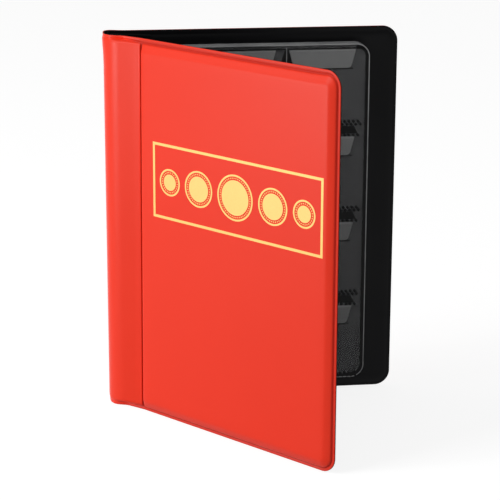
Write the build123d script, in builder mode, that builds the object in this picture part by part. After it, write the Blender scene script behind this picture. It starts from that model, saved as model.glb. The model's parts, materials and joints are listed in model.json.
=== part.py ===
from build123d import *
from math import cos, radians, sin, sqrt
import os

os.makedirs("parts", exist_ok=True)

# A coin album, standing half open on the lower edges of its covers.
# +Z runs up the spine, +X runs along the back cover from the spine to its fore edge, and the
# back cover's outer face looks along +Y. The front cover opens towards -Y.

# ------------------------------------------------------------------ sizes, in millimetres
album_height = 170.0
album_width = 132.0  # spine to fore edge
closed_thickness = 12.0  # over both covers
band_reach = 18.0  # spine fold to crease, front and rear
band_opening = 42.5  # degrees from closed, as the album stands
cover_opening = 49.5

sheet = 0.4  # PVC of the skins and linings
board_thickness = 1.2
foam_thickness = 0.6
rim_width = 2.2  # welded edge round every cover
corner_radius = 7.0  # at the fore edge
crease_corner_radius = 2.6  # of the padding, beside a crease
crease_clearance = 0.45  # from a fold's axis to the sheets on each side
pad_clearance = 0.1  # between the weld and the foot of the raised padding
board_clearance = 0.1
fold_clearance = 0.3  # round the rolled edge of the spine fold
roll_end = 215.0  # degrees, where the rolled edge tucks in behind the spine

leaf_count = 10
leaf_pitch = 0.62
leaf_top_margin = 6.7  # cover's edge to leaf's edge, top and bottom
leaf_fore_margin = 13.6
leaf_root_reach = 9.0  # spine to the line on which a leaf bends
leaf_root_clearance = 0.3
leaf_corner_radius = 6.0
leaf_film = 0.16
pocket_gap = 0.14  # space for a coin between the two flat films
lining_clearance = 0.3  # back lining to the last leaf
binding_start = 4.8  # spine to the welded block of the leaves' roots
binding_weld = 1.8

columns = 3
rows = 4
pocket_height = 33.4
row_weld = 6.4
column_weld = 1.0
fore_weld = 2.0
top_weld = 2.3
root_weld = 0.8
pocket_corner_radius = 2.5
mouth_height = 0.8
mouth_inset = 1.0
tongue_height = 8.5
tongue_top_width = 30.0
tongue_foot_width = 25.6
tongue_shift = 1.8  # towards the spine from the pocket's middle
tongue_corner_radius = 2.0
tongue_film = 0.08

stamp_film = 0.06
stamp_start = 9.3  # crease to the border
stamp_width = 96.0
stamp_height = 33.4
stamp_centre = 109.7  # above the foot
stamp_line = 1.2
roundel_diameters = (12.0, 16.0, 20.0, 16.0, 12.0)
roundel_gap = 3.0
roundel_ring = 0.8
roundel_step = 1.6  # ring's inner edge to the disc inside it

# ------------------------------------------------------------------ worked out from them
cover_thickness = 2 * sheet + board_thickness + foam_thickness
shoulder = cover_thickness - 2 * sheet  # height of the padding above the rim, and its 45 degree run
roll_radius = cover_thickness - sheet  # a fold's axis to a cover's outer face
wall_run = sheet * sqrt(2)  # a 45 degree wall's width along the cover
pad_start = crease_clearance + pad_clearance
panel_reach = album_width - roll_radius - band_reach


def along(opening):
    """The direction of a cover that stands open by that many degrees."""
    return Vector(cos(radians(opening)), -sin(radians(opening)), 0)


def outward(opening):
    """The direction out of the front cover's outer face."""
    return Vector(-sin(radians(opening)), -cos(radians(opening)), 0)


# The origin is the middle of the standing album's foot. Distances from the spine's outer
# face and from the back cover's outer face are turned into places by these two.
fold_to_fore_edge = along(band_opening) * band_reach + along(cover_opening) * panel_reach
standing_depth = (
    closed_thickness - roll_radius - fold_to_fore_edge.Y + sheet * cos(radians(cover_opening))
)
spine_x = -album_width / 2
back_y = standing_depth / 2

spine_fold = Vector(spine_x + roll_radius, back_y - closed_thickness + roll_radius, 0)
front_crease = spine_fold + along(band_opening) * band_reach
rear_crease = Vector(spine_x + roll_radius + band_reach, back_y - roll_radius, 0)

# A cover is drawn on the plane of its inner face, X from its crease to its fore edge, Y up.
front_plane = Plane(
    origin=front_crease - outward(cover_opening) * sheet,
    x_dir=along(cover_opening),
    z_dir=outward(cover_opening),
)
back_plane = Plane(
    origin=rear_crease + Vector(0, -sheet, 0), x_dir=Vector(1, 0, 0), z_dir=Vector(0, -1, 0)
)
# The front band is a section on a level plane, with the spine fold's axis at its origin,
# X along the band and Y outwards. Its plane looks down, so it is extruded from the top.
band_plane = Plane(
    origin=spine_fold + Vector(0, 0, album_height), x_dir=along(band_opening), z_dir=Vector(0, 0, -1)
)


# ------------------------------------------------------------------ covers
def padding_outline(inset):
    """The outline of a cover's raised padding, drawn in by an inset all round."""
    near = pad_start + inset
    far = panel_reach - rim_width - inset
    with BuildSketch() as outline:
        with Locations(((near + far) / 2, album_height / 2)):
            Rectangle(far - near, album_height - 2 * (rim_width + inset))
        corners = outline.vertices().group_by(Axis.X)
        fillet(corners[0], max(crease_corner_radius - inset, sheet))
        corners = outline.vertices().group_by(Axis.X)
        fillet(corners[-1], max(corner_radius - rim_width - inset, sheet))
    return outline.sketch


def rim_outline():
    """The full outline of a cover, square at the crease and rounded at the fore edge."""
    with BuildSketch() as outline:
        with Locations(((crease_clearance + panel_reach) / 2, album_height / 2)):
            Rectangle(panel_reach - crease_clearance, album_height)
        fillet(outline.vertices().group_by(Axis.X)[-1], corner_radius)
    return outline.sketch


def make_cover(name, plane, side):
    """Skin, lining, board and foam of a cover. Side is 1 where its plane looks outwards."""
    rim = rim_outline()
    pad_foot = padding_outline(0)
    pad_top = padding_outline(shoulder)
    hollow_foot = padding_outline(wall_run)
    hollow_top = padding_outline(wall_run + shoulder - sheet)
    board_inset = wall_run + board_thickness - sheet + board_clearance
    board_outline = padding_outline(board_inset)
    foam_outline = padding_outline(board_inset + foam_thickness)

    def level(height):
        return plane.offset(side * height)

    with BuildPart() as lining:
        with BuildSketch(level(0)):
            add(rim)
        extrude(amount=side * sheet)
    lining.part.label = name + "_lining"
    export_step(lining.part, "parts/" + name + "_lining.step")

    with BuildPart() as skin:
        with BuildSketch(level(sheet)):
            add(rim)
        extrude(amount=side * sheet)
        with BuildSketch(level(2 * sheet)):
            add(pad_foot)
        with BuildSketch(level(cover_thickness)):
            add(pad_top)
        loft(ruled=True)
        with BuildSketch(level(sheet)):
            add(hollow_foot)
        extrude(amount=side * sheet, mode=Mode.SUBTRACT)
        with BuildSketch(level(2 * sheet)):
            add(hollow_foot)
        with BuildSketch(level(cover_thickness - sheet)):
            add(hollow_top)
        loft(ruled=True, mode=Mode.SUBTRACT)
    skin.part.label = name + "_skin"
    export_step(skin.part, "parts/" + name + "_skin.step")

    with BuildPart() as board:
        with BuildSketch(level(sheet)):
            add(board_outline)
        extrude(amount=side * board_thickness)
    board.part.label = name + "_board"
    export_step(board.part, "parts/" + name + "_board.step")

    with BuildPart() as foam:
        with BuildSketch(level(sheet + board_thickness)):
            add(foam_outline)
        extrude(amount=side * foam_thickness)
    foam.part.label = name + "_foam"
    export_step(foam.part, "parts/" + name + "_foam.step")


make_cover("front_cover", front_plane, 1)
make_cover("back_cover", back_plane, -1)

# ------------------------------------------------------------------ gold foil on the front cover
stamp_middle = stamp_start + stamp_width / 2
row_length = sum(roundel_diameters) + roundel_gap * (len(roundel_diameters) - 1)

with BuildPart() as foil_stamp:
    with BuildSketch(front_plane.offset(cover_thickness)):
        with Locations((stamp_middle, stamp_centre)):
            Rectangle(stamp_width, stamp_height)
            Rectangle(stamp_width - 2 * stamp_line, stamp_height - 2 * stamp_line, mode=Mode.SUBTRACT)
        # a row of plain coin roundels, the largest in the middle
        edge = stamp_middle - row_length / 2
        for diameter in roundel_diameters:
            with Locations((edge + diameter / 2, stamp_centre)):
                Circle(diameter / 2)
                Circle(diameter / 2 - roundel_ring, mode=Mode.SUBTRACT)
                Circle(diameter / 2 - roundel_ring - roundel_step)
            edge += diameter + roundel_gap
    extrude(amount=stamp_film)
foil_stamp.part.label = "front_cover_foil_stamp"
export_step(foil_stamp.part, "parts/front_cover_foil_stamp.step")


# ------------------------------------------------------------------ front band
# Its skin is one section: a flat weld at the crease, a 45 degree shoulder, the padded face,
# and a rolled edge round the spine fold.
def on_roll(radius, angle):
    """A point on the rolled edge, in the band's own section."""
    return (radius * cos(radians(angle)), radius * sin(radians(angle)))


band_pad_end = band_reach - pad_start
band_top_end = band_pad_end - shoulder
band_weld_end = band_reach - crease_clearance
pad_height = album_height - 2 * rim_width

with BuildPart() as front_band_skin:
    with BuildSketch(band_plane.offset(rim_width)):
        with BuildLine():
            Polyline(
                on_roll(roll_radius - sheet, 90),
                (band_top_end - wall_run + sheet, roll_radius - sheet),
                (band_pad_end - wall_run, sheet),
                (band_pad_end - wall_run, 0),
                (band_weld_end, 0),
                (band_weld_end, sheet),
                (band_pad_end, sheet),
                (band_top_end, roll_radius),
                on_roll(roll_radius, 90),
            )
            CenterArc((0, 0), roll_radius, 90, roll_end - 90)
            Line(on_roll(roll_radius, roll_end), on_roll(roll_radius - sheet, roll_end))
            CenterArc((0, 0), roll_radius - sheet, 90, roll_end - 90)
        make_face()
    extrude(amount=pad_height)
    # the welded edges, above and below the padding, and the padding's end walls
    for edge_start in (0, album_height - rim_width):
        with BuildSketch(band_plane.offset(edge_start)):
            with Locations((crease_clearance, 0)):
                Rectangle(band_weld_end - crease_clearance, sheet, align=Align.MIN)
        extrude(amount=rim_width)
    for wall_start in (rim_width, album_height - rim_width - sheet):
        with BuildSketch(band_plane.offset(wall_start)):
            with BuildLine():
                Polyline(
                    (crease_clearance, 0),
                    (band_pad_end, 0),
                    (band_pad_end, sheet),
                    (band_top_end, roll_radius),
                    (crease_clearance, roll_radius),
                    close=True,
                )
            make_face()
        extrude(amount=sheet)
front_band_skin.part.label = "front_band_skin"
export_step(front_band_skin.part, "parts/front_band_skin.step")

with BuildPart() as front_band_lining:
    with BuildSketch(band_plane):
        with Locations((crease_clearance, -sheet)):
            Rectangle(band_weld_end - crease_clearance, sheet, align=Align.MIN)
    extrude(amount=album_height)
front_band_lining.part.label = "front_band_lining"
export_step(front_band_lining.part, "parts/front_band_lining.step")

band_board_end = band_pad_end - wall_run - (board_thickness - sheet) - board_clearance
board_end_gap = rim_width + sheet + board_clearance
board_height = album_height - 2 * board_end_gap

with BuildPart() as front_band_board:
    with BuildSketch(band_plane.offset(board_end_gap)):
        with Locations((crease_clearance, 0)):
            Rectangle(band_board_end - crease_clearance, board_thickness, align=Align.MIN)
    extrude(amount=board_height)
front_band_board.part.label = "front_band_board"
export_step(front_band_board.part, "parts/front_band_board.step")

# ------------------------------------------------------------------ spine and rear band
# Everything here keeps outside the circle that the front band's rolled edge turns in.
clear_radius = roll_radius + fold_clearance
spine_section = Plane(origin=(spine_x, back_y, 0), x_dir=(1, 0, 0), z_dir=(0, 0, 1))
rear_weld_end = roll_radius + band_reach - crease_clearance
rear_pad_end = roll_radius + band_reach - pad_start
rear_top_end = rear_pad_end - shoulder
fold_depth = closed_thickness - roll_radius
wall_end = fold_depth - clear_radius  # where the spine stops, beside the rolled edge

with BuildPart() as spine_skin:
    with BuildSketch(spine_section.offset(rim_width)):
        with BuildLine():
            Polyline(
                (roll_radius, 0),
                (rear_top_end, 0),
                (rear_pad_end, sheet - roll_radius),
                (rear_weld_end, sheet - roll_radius),
                (rear_weld_end, -roll_radius),
                (rear_pad_end - wall_run, -roll_radius),
                (rear_pad_end - wall_run, sheet - roll_radius),
                (rear_top_end - wall_run + sheet, -sheet),
                (roll_radius, -sheet),
            )
            CenterArc((roll_radius, -roll_radius), roll_radius - sheet, 90, 90)
            Polyline(
                (sheet, -roll_radius),
                (sheet, -wall_end),
                (0, -wall_end),
                (0, -roll_radius),
            )
            CenterArc((roll_radius, -roll_radius), roll_radius, 90, 90)
        make_face()
    extrude(amount=pad_height)
    # the welded edges at the head and the foot of the album
    for edge_start in (0, album_height - rim_width):
        with BuildSketch(spine_section.offset(edge_start)):
            with BuildLine():
                Polyline(
                    (rear_weld_end, -roll_radius),
                    (rear_weld_end, sheet - roll_radius),
                    (roll_radius - sheet, sheet - roll_radius),
                    (roll_radius - sheet, -wall_end),
                    (roll_radius, -wall_end),
                    (roll_radius, -roll_radius),
                    close=True,
                )
            make_face()
        extrude(amount=rim_width)
    for wall_start in (rim_width, album_height - rim_width - sheet):
        with BuildSketch(spine_section.offset(wall_start)):
            with BuildLine():
                Polyline(
                    (roll_radius, 0),
                    (rear_top_end, 0),
                    (rear_pad_end, sheet - roll_radius),
                    (rear_pad_end, -roll_radius),
                    (roll_radius, -roll_radius),
                    (roll_radius, -wall_end),
                    (0, -wall_end),
                    (0, -roll_radius),
                )
                CenterArc((roll_radius, -roll_radius), roll_radius, 90, 90)
            make_face()
        extrude(amount=sheet)
spine_skin.part.label = "spine_skin"
export_step(spine_skin.part, "parts/spine_skin.step")

with BuildPart() as spine_lining:
    with BuildSketch(spine_section):
        with BuildLine():
            Polyline(
                (rear_weld_end, -cover_thickness),
                (rear_weld_end, -roll_radius),
                (roll_radius, -roll_radius),
                (roll_radius, -wall_end),
                (cover_thickness, -wall_end),
                (cover_thickness, -cover_thickness),
                close=True,
            )
        make_face()
    extrude(amount=album_height)
spine_lining.part.label = "spine_lining"
export_step(spine_lining.part, "parts/spine_lining.step")

with BuildPart() as spine_board:
    with BuildSketch(spine_section.offset(board_end_gap)):
        with Locations((roll_radius, -roll_radius - board_clearance)):
            Rectangle(
                board_thickness,
                wall_end - roll_radius - board_clearance,
                align=Align.MAX,
            )
    extrude(amount=board_height)
spine_board.part.label = "spine_board"
export_step(spine_board.part, "parts/spine_board.step")

with BuildPart() as rear_band_board:
    with BuildSketch(spine_section.offset(board_end_gap)):
        with Locations((roll_radius + board_clearance, -roll_radius)):
            Rectangle(
                band_board_end - board_clearance,
                board_thickness,
                align=Align.MIN,
            )
    extrude(amount=board_height)
rear_band_board.part.label = "rear_band_board"
export_step(rear_band_board.part, "parts/rear_band_board.step")

# ------------------------------------------------------------------ leaf binding
# The roots of the leaves, welded into one block on the spine's lining.
leaf_thickness = 2 * leaf_film + pocket_gap
leaf_height = album_height - 2 * leaf_top_margin
leaf_width = album_width - leaf_fore_margin - leaf_root_reach


def leaf_back(number):
    """Depth of a leaf's back face, from the back cover's outer face. Leaf 1 is the front one."""
    return cover_thickness + lining_clearance + (leaf_count - number) * leaf_pitch


binding_depth = leaf_back(1) + leaf_thickness
root_reach = leaf_root_reach - leaf_root_clearance

with BuildPart() as leaf_binding:
    with BuildSketch(spine_section.offset(leaf_top_margin)):
        with Locations((binding_start, -cover_thickness)):
            Rectangle(binding_weld, binding_depth - cover_thickness, align=(Align.MIN, Align.MAX))
        for number in range(1, leaf_count + 1):
            with Locations((binding_start, -leaf_back(number))):
                Rectangle(root_reach - binding_start, leaf_thickness, align=(Align.MIN, Align.MAX))
    extrude(amount=leaf_height)
leaf_binding.part.label = "leaf_binding"
export_step(leaf_binding.part, "parts/leaf_binding.step")

# ------------------------------------------------------------------ pocket leaves
pocket_width = (
    leaf_width - root_weld - fore_weld - (columns - 1) * column_weld
) / columns
pocket_pitch_x = pocket_width + column_weld
pocket_pitch_z = pocket_height + row_weld
pockets_middle_x = leaf_root_reach + root_weld + (pocket_pitch_x * columns - column_weld) / 2
pockets_top = album_height - leaf_top_margin - top_weld
pockets_middle_z = pockets_top - (pocket_pitch_z * rows - row_weld) / 2
mouth_z = pockets_middle_z + (pocket_height - mouth_height) / 2
tongue_top_z = pockets_middle_z + pocket_height / 2


def leaf_plane(number):
    """A leaf's back face, X from the spine to the fore edge, Y up, looking to the front."""
    return Plane(
        origin=(spine_x, back_y - leaf_back(number), 0), x_dir=(1, 0, 0), z_dir=(0, -1, 0)
    )


def leaf_outline():
    """A leaf's sheet, with round corners at the fore edge."""
    with BuildSketch() as outline:
        with Locations((leaf_root_reach + leaf_width / 2, album_height / 2)):
            Rectangle(leaf_width, leaf_height)
        fillet(outline.vertices().group_by(Axis.X)[-1], leaf_corner_radius)
    return outline.sketch


def pocket_outline():
    """A pocket about its own middle, square at the mouth and rounded at the foot."""
    with BuildSketch() as outline:
        Rectangle(pocket_width, pocket_height)
        fillet(outline.vertices().group_by(Axis.Y)[0], pocket_corner_radius)
    return outline.sketch


def tongue_outline():
    """A tongue, wide at the pocket's mouth and narrower at its foot, with round corners."""
    with BuildSketch() as outline:
        with BuildLine():
            Polyline(
                (-tongue_top_width / 2, 0),
                (tongue_top_width / 2, 0),
                (tongue_foot_width / 2, -tongue_height),
                (-tongue_foot_width / 2, -tongue_height),
                close=True,
            )
        make_face()
        fillet(outline.vertices().group_by(Axis.Y)[0], tongue_corner_radius)
    return outline.sketch


sheet_outline = leaf_outline()
one_pocket = pocket_outline()
one_tongue = tongue_outline()

for number in range(1, leaf_count + 1):
    name = "leaf_" + str(number).zfill(2)
    back_face = leaf_plane(number)

    with BuildPart() as back_film:
        with BuildSketch(back_face):
            add(sheet_outline)
        extrude(amount=leaf_film)
    back_film.part.label = name + "_back_film"
    export_step(back_film.part, "parts/" + name + "_back_film.step")

    with BuildPart() as pocket_film:
        with BuildSketch(back_face.offset(leaf_film)):
            add(sheet_outline)
        extrude(amount=leaf_film + pocket_gap)
        # the pockets themselves, flat and open at the back until the two films are welded
        with BuildSketch(back_face.offset(leaf_film)):
            with Locations((pockets_middle_x, pockets_middle_z)):
                with GridLocations(pocket_pitch_x, pocket_pitch_z, columns, rows):
                    add(one_pocket)
        extrude(amount=pocket_gap, mode=Mode.SUBTRACT)
        # each pocket's mouth, along its top
        with BuildSketch(back_face.offset(leaf_film)):
            with Locations((pockets_middle_x, mouth_z)):
                with GridLocations(pocket_pitch_x, pocket_pitch_z, columns, rows):
                    Rectangle(pocket_width - 2 * mouth_inset, mouth_height)
        extrude(amount=leaf_film + pocket_gap, mode=Mode.SUBTRACT)
    pocket_film.part.label = name + "_pocket_film"
    export_step(pocket_film.part, "parts/" + name + "_pocket_film.step")

    with BuildPart() as tongues:
        with BuildSketch(back_face.offset(leaf_film)):
            with Locations((pockets_middle_x - tongue_shift, tongue_top_z)):
                with GridLocations(pocket_pitch_x, pocket_pitch_z, columns, rows):
                    add(one_tongue)
        extrude(amount=tongue_film)
    tongues.part.label = name + "_tongues"
    export_step(tongues.part, "parts/" + name + "_tongues.step")
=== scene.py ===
import json
from math import cos, pi, radians, sin

import bmesh
import bpy
from mathutils import Matrix, Vector


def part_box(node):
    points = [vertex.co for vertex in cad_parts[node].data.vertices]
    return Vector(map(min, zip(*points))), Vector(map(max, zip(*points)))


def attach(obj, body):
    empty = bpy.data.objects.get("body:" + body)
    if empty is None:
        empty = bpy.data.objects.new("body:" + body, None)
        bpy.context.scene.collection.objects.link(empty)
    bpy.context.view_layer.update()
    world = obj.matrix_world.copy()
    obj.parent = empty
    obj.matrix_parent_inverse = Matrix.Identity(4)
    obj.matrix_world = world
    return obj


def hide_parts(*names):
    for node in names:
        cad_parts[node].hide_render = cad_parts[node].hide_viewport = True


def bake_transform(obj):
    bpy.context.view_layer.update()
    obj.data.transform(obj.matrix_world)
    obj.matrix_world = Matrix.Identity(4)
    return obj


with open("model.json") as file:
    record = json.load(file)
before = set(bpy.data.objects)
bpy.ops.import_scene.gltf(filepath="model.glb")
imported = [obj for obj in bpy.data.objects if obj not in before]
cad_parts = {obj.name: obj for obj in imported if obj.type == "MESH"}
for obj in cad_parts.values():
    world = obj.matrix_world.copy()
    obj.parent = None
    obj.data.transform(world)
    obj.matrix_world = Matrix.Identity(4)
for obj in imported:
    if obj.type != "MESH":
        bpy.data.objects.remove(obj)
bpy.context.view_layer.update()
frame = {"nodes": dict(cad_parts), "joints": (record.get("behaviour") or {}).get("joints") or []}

# ------------------------------------------------------------------ front cover's skin
# One sheet of soft red PVC over a board and a thin foam. It is welded to the lining in a
# flat rim all round and in a narrow line at the crease, so the padding stands up between.
mm = 0.001
folds = {joint["name"]: Vector(joint["pos_m"]) for joint in frame["joints"]}
spine_fold, front_crease, rear_crease = (
    Vector((folds[name].x, folds[name].y, 0))
    for name in ("spine_fold", "front_crease", "rear_crease")
)
band_along = (front_crease - spine_fold).normalized()
band_out = Vector((band_along.y, -band_along.x, 0))
cover_opening = radians(49.5)  # from the back cover's plane, at rest
cover_along = Vector((cos(cover_opening), -sin(cover_opening), 0))
cover_out = Vector((-sin(cover_opening), -cos(cover_opening), 0))
album_height = 170.0
padding_height = 2.2  # over the weld's middle plane
band_middle = 9.0  # crease to the middle of the band beside it
panel_reach = (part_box("back_cover_lining")[1].x - rear_crease.x) / mm
corner_radius = 7.0
sheet_thickness = 0.3

# how high the skin stands, by the distance from the album's edge and from the crease
skin_edge = (
    (0, 0.2), (0.12, 0.36), (0.33, 0.43), (0.7, 0.43), (1, 0.36), (1.2, 0.2), (1.35, 0.1),
    (1.5, 0.1), (1.68, 0.48), (1.9, 0.82), (2.3, 1.08), (2.9, 1.33), (3.6, 1.62), (4.3, 1.89),
    (4.9, 2.08), (5.5, 2.17), (6.5, padding_height), (9, padding_height), (14, padding_height),
)
panel_crease = (
    (0, 0.02), (0.35, 0.04), (0.6, 0.4), (0.8, 1.1), (1, 1.56), (1.25, 1.84), (1.7, 2.02),
    (2.4, 2.13), (3.6, padding_height),
)
band_crease = (
    (0, 0.02), (0.2, 0.04), (0.35, 0.55), (0.5, 0.9), (0.8, 1.01), (1.5, 1.11), (3, 1.34),
    (4.5, 1.62), (6.5, 2.02), (band_middle, 2.5),
)
# the rear band lies flat, so its padding is no higher than the back cover's
rear_band_crease = band_crease[:6] + (
    (3, 1.5), (4.5, 1.82), (6.5, 2.08), (band_middle, padding_height),
)
rim_width = 1.5  # along the fore edge and the foot
head_rim = 0.7  # how much wider the rim is along a cover's head
lean_at_middle, lean_at_head = 0.4, 0.75  # the crease's place, and how much more at the head


def profile(points, distance):
    """The height that a profile has at a distance, level past its last point."""
    for (d0, h0), (d1, h1) in zip(points, points[1:]):
        if distance <= d1:
            return h0 + (h1 - h0) * max(distance - d0, 0) / (d1 - d0)
    return points[-1][1]


def ease(value):
    """0 below 0 and 1 above 1, with a smooth climb between."""
    value = min(max(value, 0), 1)
    return value * value * (3 - 2 * value)


def edge_distance(run, height):
    """Distance from a point on a cover to the cover's edge, run being measured from the crease."""
    right = run - (panel_reach - corner_radius)
    up = abs(height - album_height / 2) - (album_height / 2 - corner_radius)
    if right > 0 and up > 0:
        return corner_radius - (right * right + up * up) ** 0.5
    return corner_radius - max(right, up)


def band_edge(distance):
    """The padding of a band rises from its rim in less space than that of a cover."""
    return distance + 3 * max(distance - rim_width, 0)


def cover_sheet(edge, crease_steps):
    """A flat sheet from the middle of a band to the fore edge, X from the crease, Y up. It has
    a loop of edges at each distance in the edge profile, and lines beside the crease."""
    sheet = bmesh.new()
    bmesh.ops.create_grid(sheet, x_segments=1, y_segments=1, size=0.5)
    near = -4 * band_middle  # cut off below, so that no loop of edges turns back on the band
    bmesh.ops.scale(sheet, vec=(panel_reach - near, album_height, 1), verts=sheet.verts)
    middle = Vector(((panel_reach + near) / 2, album_height / 2, 0))
    bmesh.ops.translate(sheet, vec=middle, verts=sheet.verts)
    bmesh.ops.bevel(
        sheet, geom=[v for v in sheet.verts if v.co.x > 0], affect="VERTICES",
        offset=corner_radius, segments=14, profile=0.5, material=-1,
    )
    sheet.faces.ensure_lookup_table()
    field = sheet.faces[0]
    for (d0, _), (d1, _) in zip(edge, edge[1:]):
        if d1 < corner_radius:
            bmesh.ops.inset_region(
                sheet, faces=[field], thickness=d1 - d0, use_even_offset=True, use_boundary=True
            )
    cuts = [(Vector((-band_middle, 0, 0)), Vector((-1, 0, 0)), True)]
    runs = crease_steps + [-d for d in crease_steps if d]
    runs += [panel_reach - d for d, _ in edge if d > corner_radius]
    runs += [12.0 + 9.5 * i for i in range(9)]  # over the flat of the padding
    cuts += [(Vector((run, 0, 0)), Vector((1, 0, 0)), False) for run in runs]
    heights = [d for d, _ in edge if d > corner_radius] + [24.0 + 10.2 * i for i in range(7)]
    heights += [album_height - height for height in heights]
    cuts += [(Vector((0, height, 0)), Vector((0, 1, 0)), False) for height in heights]
    for place, normal, clear in cuts:
        bmesh.ops.bisect_plane(
            sheet, geom=sheet.verts[:] + sheet.edges[:] + sheet.faces[:], dist=1e-5,
            plane_co=place, plane_no=normal, clear_outer=clear,
        )
    return sheet


def cover_height(run, height, edge, panel, band):
    """How far a cover's surface stands from the weld's middle plane."""
    distance = edge_distance(run, height)
    at_edge = profile(edge, distance if run > 0 else band_edge(distance))
    if distance <= rim_width:
        return at_edge
    at_crease = profile(panel, run) if run > 0 else profile(band, -run)
    groove = profile(edge, rim_width)
    return groove + (at_edge - groove) * at_crease / panel[-1][1]


def settle(run, height):
    """Where a point of the flat sheet comes to lie. A crease leans a little, as the soft sheet
    was folded by hand. The rim is wider along the head, but not at the corner or on the band."""
    lean = lean_at_middle + lean_at_head * (2 * height / album_height - 1)
    run_there = run + lean * ease(1 - abs(run) / band_middle)
    wider = head_rim * min(edge_distance(run, height) / rim_width, 1)
    wider *= ease((height - album_height + 30) / 22) * ease((panel_reach - run) / 12)
    return run_there, height - wider * ease((run + band_middle) / 11)


def on_front_cover(run, height, out):
    """A point on the front cover and its band, in the row frame, in metres."""
    run, height = settle(run, height)
    turn = ease((run + 1) / 2)
    away = (band_out * (1 - turn) + cover_out * turn).normalized()
    line = band_along * min(run, 0) + cover_along * max(run, 0)
    return front_crease + (line + away * out + Vector((0, 0, height))) * mm


def fused_share(run, height, out):
    """How much painted shade darkens the skin where it is welded down: most in a cover's crease,
    less in its rims.
    """
    distance = edge_distance(run, height)
    inside = 0.5 * ease(distance / 0.6) + 0.5 * ease((distance - rim_width) / 3)
    return ease((1 - out) / 0.9) * inside * ease((run + band_middle) / (band_middle - 1))


def make_piece(name, shape, material, thickness=None):
    """An object from a bmesh, smooth but for its borders and its sharp edges, and given its
    thickness behind the face that was drawn."""
    for face in shape.faces:
        face.smooth = True
    for edge in shape.edges:
        edge.smooth = not edge.is_boundary and edge.calc_face_angle(0) < radians(50)
    mesh = bpy.data.meshes.new(name)
    shape.to_mesh(mesh)
    shape.free()
    mesh.materials.append(material)
    piece = bpy.data.objects.new(name, mesh)
    bpy.context.scene.collection.objects.link(piece)
    if thickness:
        solid = piece.modifiers.new("sheet", "SOLIDIFY")
        solid.thickness = thickness * mm
        solid.offset = -1
    return piece


def linear(hex_colour):
    """An sRGB hex value as the linear colour that a shader takes."""
    parts = [int(hex_colour[i : i + 2], 16) / 255 for i in (1, 3, 5)]
    return [p / 12.92 if p <= 0.04045 else ((p + 0.055) / 1.055) ** 2.4 for p in parts] + [1]


def new_material(name):
    """An empty node material."""
    material = bpy.data.materials.new(name)
    material.use_nodes = True
    material.node_tree.nodes.clear()
    return material


def add_node(material, kind, settings={}, links={}):
    """Adds a node. A setting is a property or a socket's value, and a link names the socket
    and the node and output that feed it."""
    node = material.node_tree.nodes.new(kind)
    for name, value in settings.items():
        if isinstance(name, str) and hasattr(node, name):
            setattr(node, name, value)
        else:
            node.inputs[name].default_value = value
    for name, (source, output) in links.items():
        material.node_tree.links.new(source.outputs[output], node.inputs[name])
    return node


# Calendered soft PVC, satin, with a grain so fine that it only takes the edge off a
# highlight. The real grain is near 0.25 mm; it is drawn at 0.5 mm, as coarse as shows. Shade is
# painted into the colour where the skin is welded down, in the crease and the rims' grooves.
red_pvc = new_material("calendered_red_pvc")
place = add_node(red_pvc, "ShaderNodeTexCoord")
grain = add_node(
    red_pvc, "ShaderNodeTexNoise", {"Scale": 1 / (0.5 * mm), "Detail": 3.0, "Roughness": 0.6},
    {"Vector": (place, "Object")},
)
handling = add_node(
    red_pvc, "ShaderNodeTexNoise", {"Scale": 1 / (38 * mm), "Detail": 4.0, "Roughness": 0.55},
    {"Vector": (place, "Object")},
)
tint = add_node(
    red_pvc, "ShaderNodeMix",
    {"data_type": "RGBA", 6: linear("#F43820"), 7: linear("#F93C24")},
    {0: (handling, "Fac")},
)
# painted shade: the colour darkens where the skin is welded down, standing in for the shade in the
# crease and the rims' grooves
weld = add_node(red_pvc, "ShaderNodeAttribute", {"attribute_name": "painted_weld_shade"})
tint = add_node(
    red_pvc, "ShaderNodeMix", {"data_type": "RGBA", 7: linear("#880B05")},
    {0: (weld, "Fac"), 6: (tint, 2)},
)
sheen = add_node(
    red_pvc, "ShaderNodeMapRange",
    {"From Min": 0.3, "From Max": 0.7, "To Min": 0.36, "To Max": 0.4},
    {"Value": (handling, "Fac")},
)
relief = add_node(
    red_pvc, "ShaderNodeBump", {"Strength": 0.12, "Distance": 0.03 * mm},
    {"Height": (grain, "Fac")},
)
skin_shader = add_node(
    red_pvc, "ShaderNodeBsdfPrincipled", {"IOR": 1.53, "Specular IOR Level": 0.18},
    {"Base Color": (tint, 2), "Roughness": (sheen, "Result"), "Normal": (relief, "Normal")},
)
add_node(red_pvc, "ShaderNodeOutputMaterial", {}, {"Surface": (skin_shader, "BSDF")})

crease_steps = sorted({d for d, _ in panel_crease + band_crease if d < band_middle})
front_padding = cover_sheet(skin_edge, crease_steps)
# each point carries its share of the painted shade in the crease and the rims' grooves
painted_weld_shade = front_padding.verts.layers.float.new("painted_weld_shade")
for v in front_padding.verts:
    out = cover_height(v.co.x, v.co.y, skin_edge, panel_crease, band_crease)
    v[painted_weld_shade] = fused_share(v.co.x, v.co.y, out)
    v.co = on_front_cover(v.co.x, v.co.y, out)
front_padding = make_piece("front_cover_padding", front_padding, red_pvc, sheet_thickness)
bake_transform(front_padding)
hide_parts("front_cover_skin")

# ------------------------------------------------------------------ back cover's skin
# The same sheet as the front's, laid on the back cover and the rear band, which lie flat.


def on_back_cover(run, height, out):
    """A point on the back cover, in the row frame, in metres."""
    run, height = settle(run, height)
    return rear_crease + Vector((run, out, height)) * mm


back_padding = cover_sheet(skin_edge, crease_steps)
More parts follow.
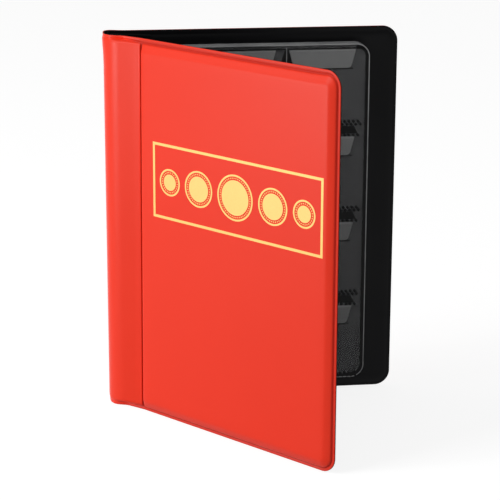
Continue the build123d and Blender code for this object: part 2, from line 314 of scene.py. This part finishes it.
# each point carries its share of the painted shade in the crease and the rims' grooves
painted_weld_shade = back_padding.verts.layers.float.new("painted_weld_shade")
for v in back_padding.verts:
    out = cover_height(v.co.x, v.co.y, skin_edge, panel_crease, rear_band_crease)
    v[painted_weld_shade] = fused_share(v.co.x, v.co.y, out)
    v.co = on_back_cover(v.co.x, v.co.y, out)
bmesh.ops.reverse_faces(back_padding, faces=back_padding.faces)
back_padding = make_piece("back_cover_padding", back_padding, red_pvc, sheet_thickness)
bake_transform(back_padding)
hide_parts("back_cover_skin")

# ------------------------------------------------------------------ spine's skin
# The same sheet again, from the middle of the front band round the spine to the middle of
# the rear band. Its welded end stands out a little at the head, past the slack below it.
spine_face = spine_fold.x - padding_height * mm
back_face = rear_crease.y + padding_height * mm


def band_point(run, out):
    """A place in the front band's section, by the distance from the fold's axis."""
    return spine_fold + (band_along * run + band_out * out) * mm


def spine_point(run, depth):
    """A place in the spine's section, by the distances from the CAD's outer and back faces."""
    return Vector((spine_face + run * mm, back_face - depth * mm, 0))


# the skin's outer face, from the middle of the front band to the middle of the rear one
crest = cover_height(-band_middle, album_height / 2, skin_edge, panel_crease, band_crease)
section = [
    band_point(9, crest), band_point(7.5, 2.74), band_point(6, 2.88), band_point(4.5, 2.88),
    band_point(3, 2.7), band_point(1.6, 2.36), spine_point(1.16, 11.4), spine_point(0.72, 10.1),
    spine_point(0.54, 8.6), spine_point(0.5, 6.7), spine_point(0.57, 4.4), spine_point(0.85, 2.6),
    spine_point(1.6, 1.12), spine_point(3, 0.27), spine_point(5, 0.02), spine_point(8, 0.03),
    spine_point(11.2, 0),
]
section_end = len(section) - 1
section_steps = [step / 3 for step in range(3 * section_end + 1)]
end_steps = [d for d, _ in skin_edge] + [20.0, 30.0, 45.0, 65.0]
end_steps += [85.0] + [album_height - d for d in reversed(end_steps)]


def on_section(step):
    """A point on the smooth curve through the section's points."""
    first = min(max(int(step), 0), section_end - 1)
    t = step - first
    here, there = section[first], section[first + 1]
    before = section[first - 1] if first else here * 2 - there
    after = section[first + 2] if first + 2 <= section_end else there * 2 - here
    return 0.5 * (
        here * 2 + (there - before) * t + (before * 2 - here * 5 + there * 4 - after) * t * t
        + (here * 3 - before - there * 3 + after) * t * t * t
    )


def on_spine(step, height, depth):
    """A point under the section's outer face, at a height, in the row frame, in metres. Depths
    are square to the face, and square to the bands at the two ends, to meet their sheets."""
    flare = 0.5 * ease((step - 4) / 4) * ease((12.5 - step) / 3.5)
    depth -= flare * (1 - ease((album_height - height - 2) / 11))
    travel = on_section(min(step + 0.02, section_end)) - on_section(max(step - 0.02, 0))
    away = Vector((0, 0, 1)).cross(travel).normalized().lerp(band_out, 1 - ease(step / 2))
    away = away.lerp(Vector((0, 1, 0)), 1 - ease((section_end - step) / 2)).normalized()
    there = settle(-band_middle, height)[1]
    return on_section(step) - away * depth * mm + Vector((0, 0, there * mm))


def spine_share(step):
    """1 round the spine, 0 at the middles of the two bands."""
    return ease(step / 5) * ease((section_end - step) / 3)


def spine_sheet(depth_at):
    """A sheet round the spine, with the depth under its outer face that a function gives."""
    sheet = bmesh.new()
    columns, levels = len(section_steps) - 1, len(end_steps) - 1
    bmesh.ops.create_grid(sheet, x_segments=columns, y_segments=levels, size=0.5)
    for v in sheet.verts:
        step = section_steps[round((v.co.x + 0.5) * columns)]
        height = end_steps[round((v.co.y + 0.5) * levels)]
        v.co = on_spine(step, height, depth_at(step, height))
    bmesh.ops.recalc_face_normals(sheet, faces=sheet.faces)
    return sheet


def face_outwards(sheet, outwards):
    """Turns a sheet so that the face nearest the fold looks away from the leaves, or to them."""
    sheet.faces.ensure_lookup_table()
    face = min(sheet.faces, key=lambda f: f.calc_center_median().x)
    if (face.normal.x < 0) != outwards:
        bmesh.ops.reverse_faces(sheet, faces=sheet.faces)


def spine_skin_depth(step, height):
    """The rims at the ends lie deep on the bands, and shallow round the spine."""
    band, top = band_crease, crest
    if step > section_end / 2:
        band, top = rear_band_crease, padding_height
    skin = cover_height(-band_middle, height, skin_edge, panel_crease, band)
    return (top - skin) * (1 - 0.85 * spine_share(step))


spine_padding = spine_sheet(spine_skin_depth)
spine_padding.normal_update()
face_outwards(spine_padding, True)
spine_padding = make_piece("spine_padding", spine_padding, red_pvc, sheet_thickness)
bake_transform(spine_padding)
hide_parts("spine_skin", "front_band_skin")

# ------------------------------------------------------------------ black linings
# Flat sheets of black PVC inside the covers and the spine, welded to the skins. The weld
# leaves a groove inside its rim, and the lining swells a little beside it.
lining_edge = (
    (0, -0.2), (0.12, -0.34), (0.33, -0.38), (0.7, -0.4), (1, -0.39), (1.2, -0.35), (1.35, -0.32),
    (1.5, -0.31), (1.68, -0.36), (1.9, -0.43), (2.3, -0.53), (2.9, -0.6), (3.6, -0.63),
    (4.3, -0.61), (5.5, -0.54), (6.5, -0.48), (9, -0.42), (14, -0.4),
)
lining_crease = ((0, -0.31), (0.3, -0.31), (0.5, -0.33), (0.8, -0.38), (1.3, -0.4), (3.5, -0.4))

# Black PVC sheet, satin: nearly black face on, with a broad dull gloss along a bend. Its
# grain is drawn at 0.6 mm, as coarse as shows.
black_pvc = new_material("calendered_black_pvc")
place = add_node(black_pvc, "ShaderNodeTexCoord")
grain = add_node(
    black_pvc, "ShaderNodeTexNoise", {"Scale": 1 / (0.6 * mm), "Detail": 3.0},
    {"Vector": (place, "Object")},
)
handling = add_node(
    black_pvc, "ShaderNodeTexNoise", {"Scale": 1 / (30 * mm), "Detail": 4.0},
    {"Vector": (place, "Object")},
)
tint = add_node(
    black_pvc, "ShaderNodeMix",
    {"data_type": "RGBA", 6: linear("#08080A"), 7: linear("#0D0D0F")},
    {0: (handling, "Fac")},
)
sheen = add_node(
    black_pvc, "ShaderNodeMapRange",
    {"From Min": 0.3, "From Max": 0.7, "To Min": 0.36, "To Max": 0.46},
    {"Value": (handling, "Fac")},
)
relief = add_node(
    black_pvc, "ShaderNodeBump", {"Strength": 0.1, "Distance": 0.03 * mm},
    {"Height": (grain, "Fac")},
)
lining_shader = add_node(
    black_pvc, "ShaderNodeBsdfPrincipled", {"IOR": 1.53, "Specular IOR Level": 0.1},
    {"Base Color": (tint, 2), "Roughness": (sheen, "Result"), "Normal": (relief, "Normal")},
)
add_node(black_pvc, "ShaderNodeOutputMaterial", {}, {"Surface": (lining_shader, "BSDF")})


def lining_height(run, height):
    """The lining's inner face over a cover, below the weld's middle plane."""
    return cover_height(run, height, lining_edge, lining_crease, lining_crease)


front_lining = cover_sheet(lining_edge, crease_steps)
for v in front_lining.verts:
    v.co = on_front_cover(v.co.x, v.co.y, lining_height(v.co.x, v.co.y))
bmesh.ops.reverse_faces(front_lining, faces=front_lining.faces)
front_lining = make_piece("front_lining", front_lining, black_pvc, sheet_thickness)
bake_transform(front_lining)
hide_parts("front_cover_lining")

back_lining = cover_sheet(lining_edge, crease_steps)
for v in back_lining.verts:
    v.co = on_back_cover(v.co.x, v.co.y, lining_height(v.co.x, v.co.y))
back_lining = make_piece("back_lining", back_lining, black_pvc, sheet_thickness)
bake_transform(back_lining)
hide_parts("back_cover_lining")


def spine_lining_depth(step, height):
    """The lining follows the welded ends out to the skin, and lies flat between them."""
    edge = min(height, album_height - height)
    top = crest + (padding_height - crest) * ease(2 * step / section_end - 1)
    weld = (top - 0.43) * 0.85 * spine_share(step) * (1 - ease((edge - rim_width) / 3))
    return top - lining_height(-band_middle, height) - weld


inner_lining = spine_sheet(spine_lining_depth)
inner_lining.normal_update()
face_outwards(inner_lining, False)
inner_lining = make_piece("inner_lining", inner_lining, black_pvc, sheet_thickness)
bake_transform(inner_lining)
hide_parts("spine_lining", "front_band_lining")

# ------------------------------------------------------------------ boards and foam
# Grey board stiffens each cover and band, and a thin polyethylene foam softens its face.
# Both are closed in between the skin and the lining.
grey_board = new_material("pressed_grey_board")
place = add_node(grey_board, "ShaderNodeTexCoord")
fibres = add_node(
    grey_board, "ShaderNodeTexNoise", {"Scale": 1 / (0.8 * mm), "Detail": 6.0, "Distortion": 1.5},
    {"Vector": (place, "Object")},
)
tint = add_node(
    grey_board, "ShaderNodeMix",
    {"data_type": "RGBA", 6: linear("#7F7A70"), 7: linear("#9A958A")},
    {0: (fibres, "Fac")},
)
board_shader = add_node(
    grey_board, "ShaderNodeBsdfPrincipled", {"Roughness": 0.9, "Specular IOR Level": 0.2},
    {"Base Color": (tint, 2)},
)
add_node(grey_board, "ShaderNodeOutputMaterial", {}, {"Surface": (board_shader, "BSDF")})

white_foam = new_material("expanded_white_polyethylene")
place = add_node(white_foam, "ShaderNodeTexCoord")
cells = add_node(
    white_foam, "ShaderNodeTexVoronoi", {"Scale": 1 / (0.7 * mm)}, {"Vector": (place, "Object")}
)
relief = add_node(
    white_foam, "ShaderNodeBump", {"Strength": 0.4, "Distance": 0.1 * mm},
    {"Height": (cells, "Distance")},
)
foam_shader = add_node(
    white_foam, "ShaderNodeBsdfPrincipled",
    {"Base Color": linear("#EDEDEA"), "Roughness": 0.75}, {"Normal": (relief, "Normal")},
)
add_node(white_foam, "ShaderNodeOutputMaterial", {}, {"Surface": (foam_shader, "BSDF")})

for name, node in frame["nodes"].items():
    if name.endswith("_board") or name.endswith("_foam"):
        node.data.materials.clear()
        node.data.materials.append(grey_board if name.endswith("_board") else white_foam)


def make_strip(name, middle, along, size, body, material=grey_board):
    """A strip of board or foam over half the album's height, with its cut edges rounded."""
    strip = bmesh.new()
    bmesh.ops.create_cube(strip, size=1)
    bmesh.ops.scale(strip, vec=[side * mm for side in size], verts=strip.verts)
    bmesh.ops.bevel(
        strip, geom=strip.edges[:], affect="EDGES", offset=0.2 * mm, segments=3, profile=0.5,
        material=-1,
    )
    up = Vector((0, 0, 1))
    turn = Matrix((along, up, along.cross(up))).transposed().to_4x4()
    middle = middle + Vector((0, 0, album_height / 2 * mm))
    bmesh.ops.transform(strip, matrix=Matrix.Translation(middle) @ turn, verts=strip.verts)
    strip = make_piece(name + "_strip", strip, material)
    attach(strip, body)
    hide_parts(name)


strip_height = album_height - 9.0
make_strip(
    "front_band_board", band_point(9.6, 0.38), band_along, (10, strip_height, 0.75), "front_band"
)
make_strip(
    "rear_band_board", rear_crease + Vector((-10, 0.5, 0)) * mm, Vector((1, 0, 0)),
    (10, strip_height, 0.9), "spine",
)
make_strip(
    "spine_board", spine_point(1.9, 4.3), Vector((0, 1, 0)), (3.4, strip_height, 0.8), "spine"
)
foam_start, foam_end = 3.2, panel_reach - 5.8
foam_middle = (foam_start + foam_end) / 2
foam_size = (foam_end - foam_start, album_height - 2 * 5.8, 0.55)
make_strip(
    "front_cover_foam", front_crease + (cover_along * foam_middle + cover_out * 1.5) * mm,
    cover_along, foam_size, "front_cover", white_foam,
)
make_strip(
    "back_cover_foam", rear_crease + Vector((foam_middle, 1.5, 0)) * mm, Vector((1, 0, 0)),
    foam_size, "back_cover", white_foam,
)

# ------------------------------------------------------------------ gold foil on the front
# A border and a row of plain coin roundels, hot-stamped in pale gold foil. A ring of small
# beads, like a coin's, runs between each roundel's rim and its middle.
gold_foil = new_material("hot_stamped_gold_foil")
place = add_node(gold_foil, "ShaderNodeTexCoord")
grain = add_node(
    gold_foil, "ShaderNodeTexNoise", {"Scale": 1 / (0.5 * mm), "Detail": 3.0},
    {"Vector": (place, "Object")},
)
tint = add_node(
    gold_foil, "ShaderNodeMix",
    {"data_type": "RGBA", 6: linear("#F6C168"), 7: linear("#FFD07A")},
    {0: (grain, "Fac")},
)
relief = add_node(
    gold_foil, "ShaderNodeBump", {"Strength": 0.15, "Distance": 0.03 * mm},
    {"Height": (grain, "Fac")},
)
foil_shader = add_node(
    gold_foil, "ShaderNodeBsdfPrincipled", {"Metallic": 0.25, "Roughness": 0.42},
    {"Base Color": (tint, 2), "Normal": (relief, "Normal")},
)
add_node(gold_foil, "ShaderNodeOutputMaterial", {}, {"Surface": (foil_shader, "BSDF")})
stamp = frame["nodes"]["front_cover_foil_stamp"]
stamp.data.materials.clear()
stamp.data.materials.append(gold_foil)

stamp_middle, stamp_height = 57.3, 109.7  # from the crease, and above the foot
roundels = ((-38, 12), (-21, 16), (0, 20), (21, 16), (38, 12))  # middle, and diameter
bead_diameter, bead_height, bead_pitch = 0.62, 0.06, 1.05
ring_inset = 1.6  # a roundel's edge to its ring of beads
to_cover = Matrix((cover_along, Vector((0, 0, 1)), cover_out)).transposed().to_4x4()
beads = bmesh.new()
for middle, diameter in roundels:
    ring = diameter / 2 - ring_inset
    count = round(2 * pi * ring / bead_pitch)
    for i in range(count):
        turn = 2 * pi * i / count
        run = stamp_middle + middle + ring * cos(turn)
        height = stamp_height + ring * sin(turn)
        made = bmesh.ops.create_cone(
            beads, cap_ends=True, segments=10, radius1=bead_diameter / 2 * mm,
            radius2=bead_diameter / 3 * mm, depth=bead_height * mm,
        )["verts"]
        middle_point = on_front_cover(run, height, padding_height + bead_height / 2)
        bmesh.ops.transform(beads, matrix=Matrix.Translation(middle_point) @ to_cover, verts=made)
beads = make_piece("foil_beads", beads, gold_foil)
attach(beads, "front_cover")

# ------------------------------------------------------------------ pocket leaves
# Ten leaves of two clear PVC films, high-frequency welded round three by four pockets, with
# a tongue of a third film tucked into each pocket's mouth. The films are clear with a faint
# haze, so the stack looks smoky grey over the black lining.
clear_pvc = new_material("pressed_clear_pvc_film")
place = add_node(clear_pvc, "ShaderNodeTexCoord")
waves = add_node(
    clear_pvc, "ShaderNodeTexNoise", {"Scale": 1 / (26 * mm), "Detail": 2.0},
    {"Vector": (place, "Object")},
)
relief = add_node(
    clear_pvc, "ShaderNodeBump", {"Strength": 0.25, "Distance": 0.4 * mm},
    {"Height": (waves, "Fac")},
)
film_shader = add_node(
    clear_pvc, "ShaderNodeBsdfPrincipled",
    {"Base Color": linear("#68696B"), "Roughness": 0.16, "IOR": 1.53, "Alpha": 0.12},
    {"Normal": (relief, "Normal")},
)
add_node(clear_pvc, "ShaderNodeOutputMaterial", {}, {"Surface": (film_shader, "BSDF")})

# The tongues are a thinner film with a frosted face, so that paper and coins slide past it.
tongue_pvc = new_material("frosted_pvc_film")
place = add_node(tongue_pvc, "ShaderNodeTexCoord")
frost = add_node(
    tongue_pvc, "ShaderNodeTexNoise", {"Scale": 1 / (5 * mm), "Detail": 5.0},
    {"Vector": (place, "Object")},
)
tint = add_node(
    tongue_pvc, "ShaderNodeMix",
    {"data_type": "RGBA", 6: linear("#C0C1C1"), 7: linear("#D8D9D8")},
    {0: (frost, "Fac")},
)
tongue_shader = add_node(
    tongue_pvc, "ShaderNodeBsdfPrincipled", {"Roughness": 0.35, "IOR": 1.53, "Alpha": 0.4},
    {"Base Color": (tint, 2)},
)
add_node(tongue_pvc, "ShaderNodeOutputMaterial", {}, {"Surface": (tongue_shader, "BSDF")})

for name, node in frame["nodes"].items():
    if name.startswith("leaf_"):
        node.data.materials.clear()
        node.data.materials.append(tongue_pvc if name.endswith("_tongues") else clear_pvc)

# ------------------------------------------------------------------ welds of the leaves
# The electrode leaves a raised bead round each leaf, and a knurl of welded diamonds between
# the rows of pockets, where the film has gone dark and clear. A slit under each pocket lets
# its tongue be pulled out; its dark patch is the slit and a painted shadow in it. A dark line
# along each tongue's foot is a painted shadow.
weld_and_shadow_pvc = new_material("fused_clear_pvc_and_painted_shadow")
place = add_node(weld_and_shadow_pvc, "ShaderNodeTexCoord")
ripple = add_node(
    weld_and_shadow_pvc, "ShaderNodeTexNoise", {"Scale": 1 / (1.2 * mm), "Detail": 2.0},
    {"Vector": (place, "Object")},
)
relief = add_node(
    weld_and_shadow_pvc, "ShaderNodeBump", {"Strength": 0.3, "Distance": 0.05 * mm},
    {"Height": (ripple, "Fac")},
)
weld_and_shadow_shader = add_node(
    weld_and_shadow_pvc, "ShaderNodeBsdfPrincipled",
    {"Base Color": linear("#050506"), "Roughness": 0.3, "IOR": 1.53, "Specular IOR Level": 0.1},
    {"Normal": (relief, "Normal")},
)
add_node(weld_and_shadow_pvc, "ShaderNodeOutputMaterial", {}, {"Surface": (weld_and_shadow_shader, "BSDF")})

# Pale grey, streaked: a painted highlight, the light that a leaf's edge and its bead catch.
bead_painted_highlight = new_material("pvc_bead_painted_highlight")
place = add_node(bead_painted_highlight, "ShaderNodeTexCoord")
streaks = add_node(
    bead_painted_highlight, "ShaderNodeTexNoise", {"Scale": 1 / (9 * mm), "Detail": 3.0},
    {"Vector": (place, "Object")},
)
tint = add_node(
    bead_painted_highlight, "ShaderNodeMix",
    {"data_type": "RGBA", 6: linear("#8E8F90"), 7: linear("#D8D9DA")},
    {0: (streaks, "Fac")},
)
edge_shader = add_node(
    bead_painted_highlight, "ShaderNodeBsdfPrincipled", {"Roughness": 0.2, "IOR": 1.53, "Alpha": 0.75},
    {"Base Color": (tint, 2)},
)
add_node(bead_painted_highlight, "ShaderNodeOutputMaterial", {}, {"Surface": (edge_shader, "BSDF")})

leaf_low, leaf_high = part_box("leaf_01_pocket_film")
leaf_width = (leaf_high.x - leaf_low.x) / mm
leaf_height = (leaf_high.z - leaf_low.z) / mm
leaf_corner_radius = 6.0
column_pitch, row_pitch = 35.867, 39.8
first_pocket = 0.8 + (column_pitch - 1) / 2  # leaf's root to the middle of the first column
top_weld = 2.3
bead_width = 0.42
edge_weld = (0.45, 1.8)  # where the dark weld beside the bead starts and ends
knurl_pitch, knurl_radius = 2.0, 0.78
knurl_rows = ((0, 32.9), (1, 34.2), (0, 39.1))  # stagger, and drop from the pocket's mouth
tongue_half, slit_half = 12.2, 12.8
film = 0.04  # how thick a mark on a film is


def add_patch(shape, left, right, low, high, spread=0):
    """A flat patch, its foot wider than its head by the spread at each end."""
    for v in bmesh.ops.create_grid(shape, x_segments=1, y_segments=1, size=0.5)["verts"]:
        end = -1 if v.co.x < 0 else 1
        at_foot = v.co.y < 0
        v.co.x = (right if end > 0 else left) + end * spread * at_foot
        v.co.y = low if at_foot else high


def leaf_ring(shape, start, end):
    """A flat ring inside a leaf's outline, between two distances from it."""
    bmesh.ops.create_grid(shape, x_segments=1, y_segments=1, size=0.5)
    bmesh.ops.scale(shape, vec=(leaf_width, leaf_height, 1), verts=shape.verts)
    bmesh.ops.translate(shape, vec=(leaf_width / 2, leaf_height / 2, 0), verts=shape.verts)
    bmesh.ops.bevel(
        shape, geom=[v for v in shape.verts if v.co.x > 1], affect="VERTICES",
        offset=leaf_corner_radius, segments=10, profile=0.5, material=-1,
    )
    shape.faces.ensure_lookup_table()
    field = shape.faces[0]
    unwanted = [field]
    if start:
        unwanted += bmesh.ops.inset_region(
            shape, faces=[field], thickness=start, use_even_offset=True, use_boundary=True
        )["faces"]
    bmesh.ops.inset_region(
        shape, faces=[field], thickness=end - start, use_even_offset=True, use_boundary=True
    )
    bmesh.ops.delete(shape, geom=unwanted, context="FACES")


def leaf_welds(name, front):
    """The welds and slits of a leaf whose front face is at that depth, with painted shadows at the
    slits and the tongues' feet.
    """
    welds = bmesh.new()
    leaf_ring(welds, *edge_weld)
    # the ring is left out at the root, and along the head, where the weld is narrower
    head = [f for f in welds.faces if f.calc_center_median().y > leaf_height - 2]
    root = [f for f in welds.faces if f.calc_center_median().x < 2]
    bmesh.ops.delete(
        welds, geom=[f for f in head + root if f.calc_center_median().x < 90], context="FACES"
    )
    add_patch(welds, 0, leaf_width - 3, leaf_height - top_weld, leaf_height - edge_weld[1])
    for row in range(4):
        top = leaf_height - top_weld - row * row_pitch
        for offset, drop in knurl_rows:
            if row == 3 and drop > 36:
                continue
            for i in range(int(leaf_width / knurl_pitch) - 2):
                made = bmesh.ops.create_cone(
                    welds, cap_ends=True, segments=4, radius1=knurl_radius, radius2=0.6,
                    depth=film,
                )["verts"]
                along = 2.6 + knurl_pitch * i + offset
                bmesh.ops.translate(welds, vec=(along, top - drop, 0), verts=made)
        for column in range(3):
            middle = first_pocket + column * column_pitch
            left, right = middle - tongue_half, middle + tongue_half
            # a dark line along each tongue's foot: painted shadow under the tongue's edge
            add_patch(welds, left, right, top - 8.95, top - 8.6, -0.3)
            if row < 3:
                left, right = middle - slit_half, middle + slit_half
                # the slit, dark with a painted shadow in it
                add_patch(welds, left, right, top - 38.3, top - 35, 1.6)
        for weld in (1, 2):
            middle = first_pocket + (weld - 0.5) * column_pitch
            add_patch(welds, middle - 0.7, middle + 0.7, top - 8, top, 2.5)
            add_patch(welds, middle - 0.5, middle + 0.5, top - 32.5, top - 8)
    stand = Matrix.Translation((leaf_low.x, front - 0.03 * mm, leaf_low.z))
    stand = stand @ Matrix.Rotation(pi / 2, 4, "X") @ Matrix.Scale(mm, 4)
    bmesh.ops.transform(welds, matrix=stand, verts=welds.verts)
    return make_piece(name, welds, weld_and_shadow_pvc)


def leaf_bead(name, back, front):
    """The bead round a leaf's edge, which closes the two films together, and a thin line of it
    between the columns. Its pale grey is a painted highlight: the light that the edges catch."""
    bead = bmesh.new()
    leaf_ring(bead, 0, bead_width)
    ring = bmesh.ops.extrude_face_region(bead, geom=bead.faces[:])["geom"]
    thickness = (back - front) / mm
    raised = [v for v in ring if isinstance(v, bmesh.types.BMVert)]
    bmesh.ops.translate(bead, vec=(0, 0, thickness + film), verts=raised)
    for weld in (0.5, 1.5):
        made = bmesh.ops.create_cube(bead, size=1)["verts"]
        bmesh.ops.scale(bead, vec=(0.25, leaf_height - 3, film), verts=made)
        middle = (first_pocket + weld * column_pitch, leaf_height / 2, thickness + 0.06)
        bmesh.ops.translate(bead, vec=middle, verts=made)
    bmesh.ops.recalc_face_normals(bead, faces=bead.faces)
    stand = Matrix.Translation((leaf_low.x, back, leaf_low.z)) @ Matrix.Rotation(pi / 2, 4, "X")
    bmesh.ops.transform(bead, matrix=stand @ Matrix.Scale(mm, 4), verts=bead.verts)
    return make_piece(name, bead, bead_painted_highlight)


for number in range(1, 11):
    body = "leaf_" + str(number).zfill(2)
    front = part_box(body + "_pocket_film")[0].y
    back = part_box(body + "_back_film")[1].y
    for piece in (leaf_welds(body + "_welds", front), leaf_bead(body + "_bead", back, front)):
        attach(piece, body)

# ------------------------------------------------------------------ floor and light
# A white table in a white room. The covers get a broad soft light from the left, a low
# narrow one that runs a sheen down the band beside the spine, and a weak one from the front.
floor_paint = new_material("white_table")
seen = add_node(floor_paint, "ShaderNodeLightPath")
direct = add_node(
    floor_paint, "ShaderNodeMath", {"operation": "MAXIMUM"},
    {0: (seen, "Is Camera Ray"), 1: (seen, "Is Glossy Ray")},
)
glow = add_node(
    floor_paint, "ShaderNodeMath", {"operation": "MULTIPLY", 1: 0.85}, {0: (direct, 0)}
)
table_shader = add_node(
    floor_paint, "ShaderNodeBsdfPrincipled",
    {"Base Color": linear("#909090"), "Roughness": 0.8, "Specular IOR Level": 0.1,
     "Emission Color": (1, 1, 1, 1)},
    {"Emission Strength": (glow, 0)},
)
add_node(floor_paint, "ShaderNodeOutputMaterial", {}, {"Surface": (table_shader, "BSDF")})
table = bmesh.new()
bmesh.ops.create_grid(table, x_segments=1, y_segments=1, size=6)
bmesh.ops.translate(table, vec=(0, 0, -0.0002), verts=table.verts)
table = make_piece("table", table, floor_paint)

world = bpy.data.worlds.new("white_room")
bpy.context.scene.world = world
world.use_nodes = True
world.node_tree.nodes.clear()
seen = add_node(world, "ShaderNodeLightPath")
direct = add_node(
    world, "ShaderNodeMath", {"operation": "MAXIMUM"},
    {0: (seen, "Is Camera Ray"), 1: (seen, "Is Transmission Ray")},
)
strength = add_node(
    world, "ShaderNodeMapRange", {"To Min": 0.3, "To Max": 1.0}, {"Value": (direct, 0)}
)
sky = add_node(
    world, "ShaderNodeBackground", {"Color": (1, 1, 1, 1)}, {"Strength": (strength, "Result")}
)
add_node(world, "ShaderNodeOutputWorld", {}, {"Surface": (sky, "Background")})


def add_light(name, place, target, size, power):
    """A rectangular soft light that faces a target, its power in watts."""
    light = bpy.data.lights.new(name, "AREA")
    light.shape = "RECTANGLE"
    light.size, light.size_y = size
    light.energy = power
    lamp = bpy.data.objects.new(name, light)
    bpy.context.scene.collection.objects.link(lamp)
    aim = (Vector(target) - Vector(place)).to_track_quat("-Z", "Y")
    lamp.matrix_world = Matrix.Translation(place) @ aim.to_matrix().to_4x4()


add_light("left_softbox", (-0.95, -0.3, 0.85), (-0.03, 0, 0.08), (0.6, 0.8), 8.2)
add_light("low_strip", (-0.7, -0.15, 0.1), (-0.06, 0.035, 0.08), (0.05, 0.18), 1.6)
add_light("front_softbox", (0.6, -1.1, 0.8), (0, 0, 0.08), (0.9, 0.6), 0.8)

# ------------------------------------------------------------------ camera
camera = bpy.data.cameras.new("camera")
camera.lens = 138.06
camera.sensor_width = 36.0
viewer = bpy.data.objects.new("camera", camera)
bpy.context.scene.collection.objects.link(viewer)
yaw, pitch, roll = radians(7.491), radians(16.313), radians(0.215)
forward = Vector((sin(yaw) * cos(pitch), cos(yaw) * cos(pitch), -sin(pitch)))
viewer.matrix_world = (
    Matrix.Translation((-0.10962, -0.78176, 0.31372))
    @ forward.to_track_quat("-Z", "Y").to_matrix().to_4x4()
    @ Matrix.Rotation(roll, 4, "Z")
)
bpy.context.scene.camera = viewer
bpy.context.scene.view_settings.view_transform = "Standard"
bpy.context.scene.cycles.transparent_max_bounces = 64
